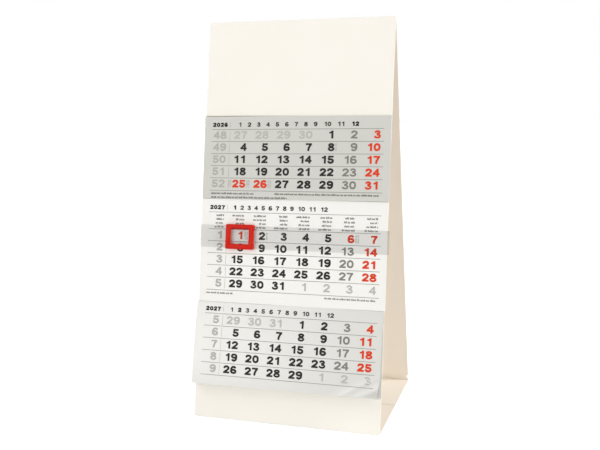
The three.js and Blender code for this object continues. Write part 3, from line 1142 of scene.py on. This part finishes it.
@dataclass
class PagePrinter:
    """Prints a month on a leaf: rules, title, week numbers, days and small print.

    Words, strokes, their gaps, the least and longest weekday heads and a day's notes, as
    offsets from its number's right edge, are in millimetres, and all else in metres.
    """

    surface: LeafSurface
    layout: PageLayout
    month: Month
    dice: random.Random
    digit_height: float = 4.2 * MM
    rule_width: float = 0.24 * MM
    tick_share: float = 0.45
    tick_over: float = 0.2 * MM
    tick_from: float = 0.9 * MM
    tick_to: float = 0.5 * MM
    title_height: float = 2.35 * MM
    title_gap: float = 1.45 * MM
    year_over: float = 0.5 * MM
    months_from: float = 1.5 * MM
    year_weight: float = 0.33
    month_weight: float = 0.26
    this_month_weight: float = 0.34
    head_from: float = 1.15 * MM
    head_lines: int = 4
    week_head: tuple[float, float] = (3.6, 5.6)
    day_head: tuple[float, float] = (3.8, 7.6)
    head_pitch: float = 2.1 * MM
    head_height: float = 1.1 * MM
    foot_height: float = 0.95 * MM
    note_width: float = 0.85 * MM
    note_drop: float = 0.1 * MM
    note_lines: tuple[float, ...] = (0.5, 1.65)
    note_lines_left: tuple[float, ...] = (-10.1, -8.95)
    word_length: tuple[float, float] = (1.1, 3.4)
    word_gap: float = 0.35
    stroke_length: tuple[float, float] = (0.2, 0.42)
    stroke_gap: float = 0.13
    stroke_heights: tuple[float, ...] = (0.72, 0.72, 1.0)
    layers: dict[Ink, InkLayer] = field(init=False)

    def __post_init__(self) -> None:
        """Start one empty layer for each ink."""
        self.layers = {ink: InkLayer(self.surface) for ink in Ink}

    def rule(self, v: float) -> None:
        """Print one rule across the page at a height."""
        half = self.rule_width / 2
        self.layers[Ink.RULE].add_bar(self.layout.rule_left, self.layout.rule_right, v - half, v + half)

    def tick(self, top: float, bottom: float) -> None:
        """Print the short upright line between week number and days."""
        half = self.rule_width * self.tick_share
        middle = self.layout.divider
        self.layers[Ink.WEEK].add_bar(middle - half, middle + half, top, bottom)

    def title(self) -> None:
        """Print the year, and the numbers of all twelve months with this one in bold."""
        layout, height, black = self.layout, self.title_height, self.layers[Ink.WEEKDAY]
        top = layout.title_rule - height - self.title_gap
        year_right = layout.week_right + self.year_over
        black.add_number(str(self.month.year), year_right, top, height, self.year_weight)
        self.tick(top - self.tick_over, top + height + self.tick_over)
        months = [str(number) for number in range(1, 13)]
        widths = [DIGITS.length(len(text)) * height for text in months]
        gap = (layout.title_width - sum(widths)) / len(months)
        right = layout.divider + self.months_from
        for number, (text, width) in enumerate(zip(months, widths), start=1):
            right += gap + width
            weight = self.this_month_weight if number == self.month.number else self.month_weight
            black.add_number(text, right, top, height, weight)

    def marks(self, start: float, end: float, edge: float, depth: float, upright: bool = False) -> None:
        """Print a line of marks that stands for small print without being any.

        Args:
            start, end: Where the line may reach.
            edge: Its upper edge, or an upright line's left one.
            depth: Its height, or an upright line's width.
            upright: Whether it is turned upright, in the pale ink of a day's note.
        """
        while start < end:
            word = min(start + self.dice.uniform(*self.word_length) * MM, end)
            while start < word:
                stroke = min(self.dice.uniform(*self.stroke_length) * MM, word - start)
                high = depth * self.dice.choice(self.stroke_heights)
                if upright:
                    self.layers[Ink.WEEK].add_bar(edge, edge + high, start, start + stroke)
                else:
                    foot = edge + depth
                    self.layers[Ink.SMALL].add_bar(start, start + stroke, foot - high, foot)
                start += stroke + self.stroke_gap * MM
            start += self.word_gap * MM

    def weekday_heads(self) -> None:
        """Fill the weekday heads with short lines of marks over each column."""
        columns = [(self.layout.week_right, self.week_head)]
        columns += [(self.layout.day_right(day), self.day_head) for day in range(7)]
        for right, lengths in columns:
            for line in range(self.head_lines):
                width = self.dice.uniform(*lengths) * MM
                top = self.layout.title_rule + self.head_from + line * self.head_pitch
                self.marks(right - width, right, top, self.head_height)

    def days(self) -> None:
        """Print the rows of days between their rules, with notes beside some of them."""
        layout, height = self.layout, self.digit_height
        rows = self.month.rows()
        for index, (week, cells) in enumerate(rows):
            above = layout.first_row + index * layout.row_pitch
            below = above + layout.row_pitch
            top = above + layout.digit_drop
            self.rule(layout.last_row if index == len(rows) - 1 else below)
            self.tick(above + self.tick_from, below - self.tick_to)
            numbers = [(week, Ink.WEEK, layout.week_right)]
            numbers += [(day, ink, layout.day_right(weekday)) for weekday, (day, ink) in enumerate(cells)]
            for place, (number, ink, right) in enumerate(numbers):
                self.layers[ink].add_number(str(number), right, top, height, ink.value.weight)
                if number in self.month.noted and ink not in (Ink.WEEK, Ink.SPILL):
                    lines = self.note_lines if ink is Ink.HOLIDAY else self.note_lines[:1]
                    lines += self.note_lines_left if place == 1 else ()
                    for line in lines:
                        left = right + line * MM
                        self.marks(top + self.note_drop, top + height, left, self.note_width, upright=True)

    def build(self, prefix: str, body: str, slot: str) -> None:
        """Print the whole page and make its objects.

        Args:
            prefix: The first part of the pieces' names.
            body: The body that they move with.
            slot: The record's material slot of the paper.
        """
        layout = self.layout
        self.title()
        self.rule(layout.title_rule)
        if layout.weekday_heads:
            self.weekday_heads()
            self.rule(layout.first_row)
        self.days()
        for left, right, drop in layout.notes:
            self.marks(left * MM, right * MM, layout.last_row + drop * MM, self.foot_height)
        for ink, layer in self.layers.items():
            layer.build(f"{prefix}_print_{ink.name.lower()}", body, slot, ink.value)


@dataclass(frozen=True)
class MonthPad:
    """A pad of leaves with its print, its gummed head and its tape."""

    prefix: str
    slot: str
    paper: Finish
    months: tuple[Month, ...]
    shape: PadShape
    layout: PageLayout
    front_body: str = "front_card"
    leaves: int = 12
    jitter: float = 0.1 * MM

    def surface(self, side: CardSide, from_front: int, dice: random.Random) -> LeafSurface:
        """Measure a packed leaf and describe its face.

        Args:
            side: The side of the tent that it hangs on.
            from_front: 0 for the front leaf.
            dice: The source of its small misplacement.

        Returns:
            The leaf's surface.
        """
        low, high = side.node_box(self.node(from_front))
        flat_low, flat_high = side.node_box(self.node(self.leaves - 1))
        shift = dice.uniform(-self.jitter, self.jitter) if from_front else 0.0
        short = dice.uniform(0.0, self.jitter) if from_front else 0.0
        return LeafSurface(
            side, low.x + shift, high.y, high.x - low.x, flat_high.y - flat_low.y - short, low.z,
            flat_high.z - flat_low.z, self.shape, from_front, 1 - from_front / (self.leaves - 1),
        )

    def node(self, from_front: int) -> str:
        """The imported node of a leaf."""
        return f"{self.prefix}_pad_leaf_{from_front + 1:02d}"

    def build(self, tent: Tent) -> None:
        """Make every leaf, print the pages that can be seen, and dress head and tape.

        Args:
            tent: The folded card.
        """
        dice = random.Random(SEED)
        for from_front in range(self.leaves):
            leaf = self.surface(tent.front, from_front, dice)
            body = "front_card" if from_front else self.front_body
            name = f"{self.prefix}_leaf_{from_front + 1:02d}"
            detail = 1 if from_front else 2
            piece = slab(
                name, spread(0.0, leaf.width, self.shape.steps_across * detail),
                spread(0.0, leaf.height, self.shape.steps_down * detail),
                lambda u, v, back: leaf.point(u, v, 0.0 if back else leaf.thickness),
                [self.paper, WHITE_PAPER],
            )
            dress(piece, body, self.slot, self.node(from_front))
            if from_front < len(self.months):
                month = self.months[from_front]
                printer = PagePrinter(leaf, self.layout, month, random.Random(SEED + month.number))
                printer.build(name, body, self.slot)
        repaint(f"{self.prefix}_pad_gum", GUM)
        repaint(f"{self.prefix}_pad_tape", ADHESIVE)


@dataclass
class DateMarker:
    """The clear band round the front card, its weld, and the red frame that slides on it.

    The frame's faces within `frame_flat` degrees are joined, its edges shade sharply from
    `frame_sharp` and are rounded from `frame_rounded`.
    """

    tent: Tent
    bulge: float = 0.12 * MM
    film_thickness: float = 0.2 * MM
    corner_radius: float = 1.0 * MM
    corner_steps: int = 6
    weld_gap: float = 0.02 * MM
    lap_past_weld: float = 0.5 * MM
    jog_gap: float = 0.7 * MM
    jog_length: float = 1.8 * MM
    lap_steps: int = 8
    back_steps: int = 30
    face_steps: int = 60
    dish_steps: int = 8
    frame_edge: float = 0.12 * MM
    frame_edge_steps: int = 3
    frame_merge: float = 0.002 * MM
    frame_flat: float = 2.0
    frame_sharp: float = 40.0
    frame_rounded: float = 50.0

    def band_line(self) -> list[Vector]:
        """Trace the band's outer face round the card, as x and z on the front side.

        Returns:
            The points of one long line, its two ends lapped behind the card.
        """
        low, high = self.tent.front.node_box("date_band")
        weld_low, weld_high = self.tent.front.node_box("band_seam")
        radius = self.corner_radius
        right = high.x - radius
        back = weld_high.z + self.weld_gap
        lap = (weld_high.x - weld_low.x) / 2 + self.lap_past_weld
        points = [Vector((x, back)) for x in spread(-lap, right, self.back_steps)]
        for x, z, start in (
            (right, back + radius, -90), (right, high.z - radius, 0), (-right, high.z - radius, 90),
            (-right, back + radius, 180),
        ):
            for angle in spread(math.radians(start), math.radians(start + 90), self.corner_steps):
                points.append(Vector((x + radius * math.cos(angle), z + radius * math.sin(angle))))
            if start == 0:
                points += [Vector((x, high.z)) for x in spread(right, -right, self.face_steps)[1:-1]]
        jog = -lap - self.jog_gap
        points += [Vector((x, back)) for x in spread(-right, jog - self.jog_length, 24)[1:]]
        return points + [Vector((x, low.z)) for x in spread(jog, lap, self.lap_steps)]

    def build_band(self) -> None:
        """Make the film band and dress its weld."""
        side, line = self.tent.front, self.band_line()
        low, high = side.node_box("date_band")
        middle, half = (low.y + high.y) / 2, (high.y - low.y) / 2
        normals = []
        for before, after in zip(line[:1] + line, line[1:] + line[-1:]):
            normals.append(Vector(((after - before).y, (before - after).x)).normalized())

        def point(index: int, share: float, inner: bool) -> Vector:
            """A place on the film: which point of the line, and where on its height."""
            centre = line[index] - normals[index] * (self.film_thickness if inner else 0.0)
            dish = self.bulge * share * share if centre.y > 0 else 0.0
            return side.place(centre.x, middle + share * half, centre.y - dish)

        band = slab("film_band", range(len(line)), spread(-1.0, 1.0, self.dish_steps), point, [FILM])
        dress(band, "date_band", "film", "date_band")
        repaint("band_seam", ADHESIVE)

    def build_frame(self) -> None:
        """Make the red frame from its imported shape, with every edge rounded as moulded."""
        work = bmesh.new()
        work.from_mesh(frame["nodes"]["date_frame"].data)
        bmesh.ops.remove_doubles(work, verts=work.verts, dist=self.frame_merge)
        flat = math.radians(self.frame_flat)
        bmesh.ops.dissolve_limit(work, angle_limit=flat, verts=work.verts, edges=work.edges)
        mesh = bpy.data.meshes.new("red_frame")
        work.to_mesh(mesh)
        work.free()
        mesh.materials.append(RED.material())
        mesh.shade_smooth()
        mesh.set_sharp_from_angle(angle=math.radians(self.frame_sharp))
        piece = add_object("red_frame", mesh)
        rounding = piece.modifiers.new("moulded_edges", "BEVEL")
        rounding.width = self.frame_edge
        rounding.segments = self.frame_edge_steps
        rounding.limit_method = "ANGLE"
        rounding.angle_limit = math.radians(self.frame_rounded)
        dress(piece, "date_frame", "red_plastic", "date_frame")

    def build(self) -> None:
        """Make band and frame."""
        self.build_band()
        self.build_frame()


@dataclass(frozen=True)
class Lamp:
    """A large, soft, square lamp. Metres and watts."""

    name: str
    place: tuple[float, float, float]
    size: float
    power: float

    def build(self, target: Vector) -> None:
        """Hang the lamp.

        Args:
            target: What it points at.
        """
        data = bpy.data.lights.new(self.name, "AREA")
        data.shape = "SQUARE"
        data.size = self.size
        data.energy = self.power
        lamp = add_object(self.name, data)
        lamp.location = self.place
        lamp.rotation_euler = (target - lamp.location).to_track_quat("-Z", "Y").to_euler()


@dataclass
class Studio:
    """The white surface, the plain light and the camera of the photograph. Metres and degrees."""

    tent: Tent
    camera_offset: tuple[float, float, float] = (137.74 * MM, -445.39 * MM, 182.05 * MM)
    yaw: float = 17.445
    pitch: float = 9.755
    roll: float = -0.98
    lens: float = 50.51
    sensor: float = 36.0
    nearest: float = 0.01
    surface_half: float = 3.0
    surface_drop: float = 0.2 * MM
    surface_glow: float = 0.75
    even_light: float = 0.36
    aim_height: float = 0.1
    lamps: tuple[Lamp, ...] = (
        Lamp("soft_front_lamp", (-1.3, -1.9, 0.3), 1.4, 21.0),
        Lamp("soft_top_lamp", (-1.7, -1.1, 2.05), 1.4, 16.0),
        Lamp("soft_low_side_lamp", (2.4, -0.62, 0.26), 0.7, 28.0),
        Lamp("soft_high_side_lamp", (2.3, 0.2, 1.5), 1.2, 40.0),
    )

    def build_camera(self) -> None:
        """Set up the camera where the photograph was taken from."""
        data = bpy.data.cameras.new("photograph_camera")
        data.sensor_width = self.sensor
        data.lens = self.lens
        data.clip_start = self.nearest
        camera = add_object("photograph_camera", data)
        place = Vector(self.camera_offset) + Vector((0, self.tent.middle_crease.y, 0))
        camera.matrix_world = Matrix.Translation(place)
        for degrees, axis in ((self.yaw, "Z"), (90 - self.pitch, "X"), (self.roll, "Z")):
            camera.matrix_world @= Matrix.Rotation(math.radians(degrees), 4, axis)
        bpy.context.scene.camera = camera

    def build_surface(self) -> None:
        """Lay the white surface that the calendar stands on."""
        half = self.surface_half
        mesh = bpy.data.meshes.new("white_surface")
        corners = [(-half, -half, 0), (half, -half, 0), (half, half, 0), (-half, half, 0)]
        mesh.from_pydata(corners, [], [(0, 1, 2, 3)])
        material, graph, shader = new_material("white_surface")
        graph.feed(shader, {
            "Base Color": (0.95, 0.95, 0.95, 1), "Roughness": 0.9, "Specular IOR Level": 0.1,
        })
        glow = graph.add("Emission", {"Strength": self.surface_glow})
        plain = shader.outputs["BSDF"]
        total = graph.add("AddShader", {0: plain, 1: glow.outputs["Emission"]})
        path = graph.add("LightPath", {})
        choice = graph.add("MixShader", {
            "Fac": path.outputs["Is Camera Ray"], 1: plain, 2: total.outputs["Shader"],
        })
        graph.feed(graph.tree.nodes["Material Output"], {"Surface": choice.outputs["Shader"]})
        mesh.materials.append(material)
        surface = add_object("white_surface", mesh)
        surface.location.z = -self.surface_drop

    def build_world(self) -> None:
        """Set the even light all round, with white wherever it is seen directly."""
        world = bpy.data.worlds.new("white_studio")
        world.use_nodes = True
        graph = NodeGraph(world.node_tree)
        even = graph.tree.nodes["Background"]
        graph.feed(even, {"Color": (1.0, 0.99, 0.975, 1), "Strength": self.even_light})
        seen = graph.add("Background", {"Color": (1, 1, 1, 1)})
        path = graph.add("LightPath", {})
        direct = path.outputs["Is Camera Ray"]
        for ray in ("Is Glossy Ray", "Is Transmission Ray"):
            direct = graph.add("Math", {0: direct, 1: path.outputs[ray]}, operation="MAXIMUM").outputs[0]
        choice = graph.add("MixShader", {
            "Fac": direct, 1: even.outputs["Background"], 2: seen.outputs["Background"],
        })
        graph.feed(graph.tree.nodes["World Output"], {"Surface": choice.outputs["Shader"]})
        bpy.context.scene.world = world

    def build(self) -> None:
        """Make camera, surface, world and lamps."""
        self.build_camera()
        self.build_surface()
        self.build_world()
        target = self.tent.middle_crease + Vector((0, 0, self.aim_height))
        for lamp in self.lamps:
            lamp.build(target)
        bpy.context.scene.view_settings.view_transform = "Standard"


DECEMBER = Month(2026, 12, 4, 31, 30, 48, frozenset({25, 26}), frozenset({8, 25, 26}))
JANUARY = Month(2027, 1, 0, 31, 31, 1, frozenset({1, 6}), frozenset({1, 2, 6}))
FEBRUARY = Month(2027, 2, 3, 29, 31, 5)
MARCH = Month(2027, 3, 4, 31, 29, 9)

PADS = (
    MonthPad(
        "top", "grey_paper", GREY_PAPER, (DECEMBER, JANUARY),
        PadShape(
            fan_left=0.5 * MM, fan_right=0.4 * MM, askew=0.72 * MM, hang=0.5 * MM, steps_across=12,
            steps_down=8,
        ),
        PageLayout(
            title_rule=7.18 * MM, first_row=7.18 * MM, row_pitch=6.66 * MM, last_row=40.58 * MM,
            rule_left=4.19 * MM, rule_right=100.87 * MM, title_width=71 * MM, digit_drop=0.95 * MM,
            notes=((5.19, 30, 1.0), (42, 99.67, 0.9), (5.19, 49, 2.9)),
        ),
        "top_front_leaf",
    ),
    MonthPad(
        "middle", "white_paper", WHITE_PAPER, (JANUARY,),
        PadShape(
            fan_left=0.06 * MM, fan_right=0.06 * MM, askew=0.72 * MM, hang=0.45 * MM, wave=0.02 * MM,
            steps_across=12, steps_down=8,
        ),
        PageLayout(
            title_rule=7.3 * MM, first_row=16.6 * MM, row_pitch=6.58 * MM, last_row=49.86 * MM,
            rule_left=4.47 * MM, rule_right=101.2 * MM, title_width=55.5 * MM, digit_drop=1.1 * MM,
            weekday_heads=True, notes=((4.47, 20, 1.1), (72, 99.8, 1.0)),
        ),
    ),
    MonthPad(
        "bottom", "grey_paper", GREY_PAPER_PAINTED_LIGHTER, (FEBRUARY, MARCH),
        PadShape(
            fan_left=4.0 * MM, fan_right=3.6 * MM, askew=0.7 * MM, moved=-0.3 * MM, roll_radius=12 * MM,
        ),
        PageLayout(
            title_rule=6.27 * MM, first_row=6.35 * MM, row_pitch=6.62 * MM, last_row=39.52 * MM,
            rule_left=5.1 * MM, rule_right=101.6 * MM, title_width=61 * MM, digit_drop=1.05 * MM,
        ),
        "bottom_front_leaf",
    ),
)


def main() -> None:
    """Build the studio and the calendar, piece by piece."""
    logging.basicConfig(level=logging.INFO, format="%(name)s: %(message)s")
    tent = Tent()
    Studio(tent).build()
    FoldedCard(tent).build()
    for pad in PADS:
        pad.build(tent)
    DateMarker(tent).build()


if __name__ == "__main__":
    main()
